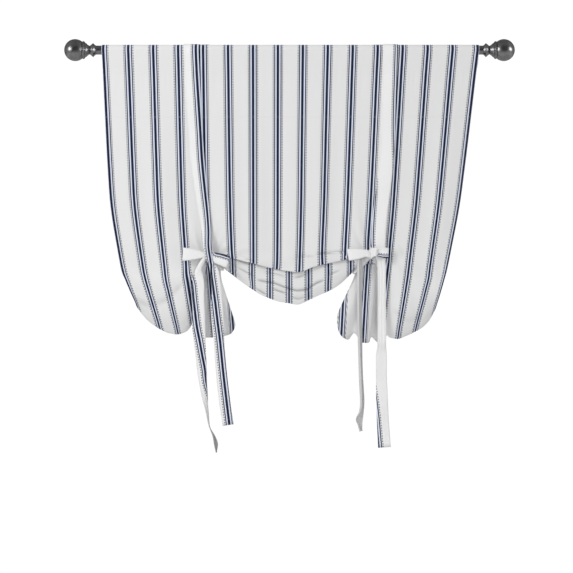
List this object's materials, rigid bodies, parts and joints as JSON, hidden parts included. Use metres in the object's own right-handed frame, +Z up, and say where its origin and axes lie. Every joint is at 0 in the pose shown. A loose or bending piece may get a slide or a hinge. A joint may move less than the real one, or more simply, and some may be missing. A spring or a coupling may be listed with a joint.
{
  "type": "tie-up curtain",
  "caption": "Cotton tie-up curtain with ticking stripes, gathered by bows into a swag, hanging by its pocket on a metal rod with ball finials.",
  "frame": {"origin": "on the rod's axis at its mid length", "axes": "+X along the rod, the striped front faces -Y, +Z up"},
  "size_m": [1.275, 0.0721, 1.1707],
  "materials": {
    "striped_cotton": "matte",
    "tie_cotton": "matte",
    "dark_pewter": "satin"
  },
  "bodies": {
    "root": {"curtain_panel": "striped_cotton", "left_front_tie": "tie_cotton", "left_back_tie": "tie_cotton", "right_front_tie": "tie_cotton", "right_back_tie": "tie_cotton", "rod_tube": "dark_pewter", "left_rod_collar": "dark_pewter", "right_rod_collar": "dark_pewter", "left_finial": "dark_pewter", "right_finial": "dark_pewter"}
  },
  "joints": []
}
